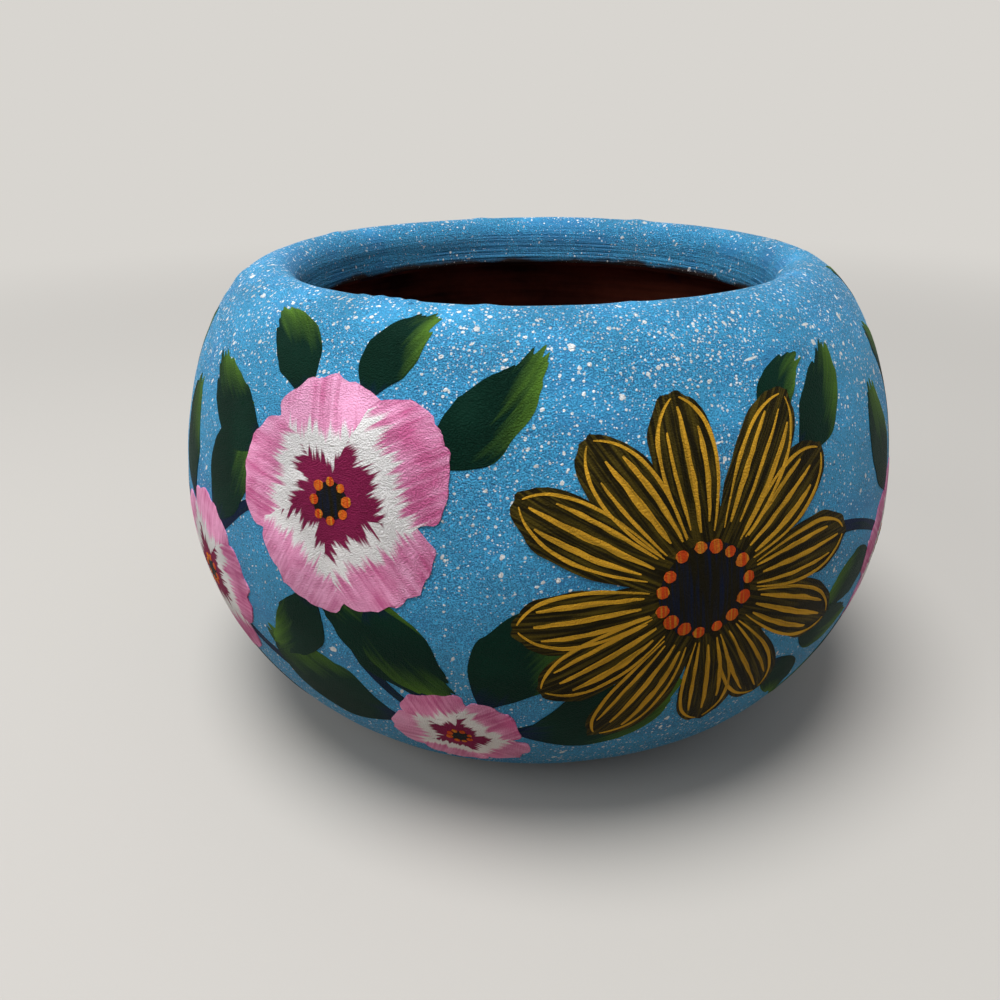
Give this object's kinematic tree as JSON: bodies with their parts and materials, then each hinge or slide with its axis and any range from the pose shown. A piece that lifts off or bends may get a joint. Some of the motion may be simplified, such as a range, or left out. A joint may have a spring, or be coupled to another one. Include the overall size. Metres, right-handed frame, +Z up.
{
  "type": "terracotta planter",
  "caption": "Squat round terracotta planter with a wide open mouth, a rolled rim, a flat foot with a drain hole and a brushed blue paint coat over the outside and throat.",
  "frame": {"origin": "centre of the foot on the ground", "axes": "+Z up along the axis the pot is turned about, -Y towards the viewer of the picture"},
  "size_m": [0.2118, 0.2118, 0.1294],
  "materials": {
    "terracotta_base": "bare fired clay, matt and porous",
    "terracotta_lower": "bare fired clay, matt and porous",
    "terracotta_upper": "bare fired clay, matt and porous",
    "terracotta_rim": "bare fired clay, matt and porous",
    "blue_paint": "brushed matt acrylic paint with fine grain and small white specks"
  },
  "bodies": {
    "root": {"base_slab": "terracotta_base", "lower_bowl": "terracotta_lower", "upper_bowl": "terracotta_upper", "rolled_rim": "terracotta_rim", "paint_coat": "blue_paint"}
  },
  "joints": []
}
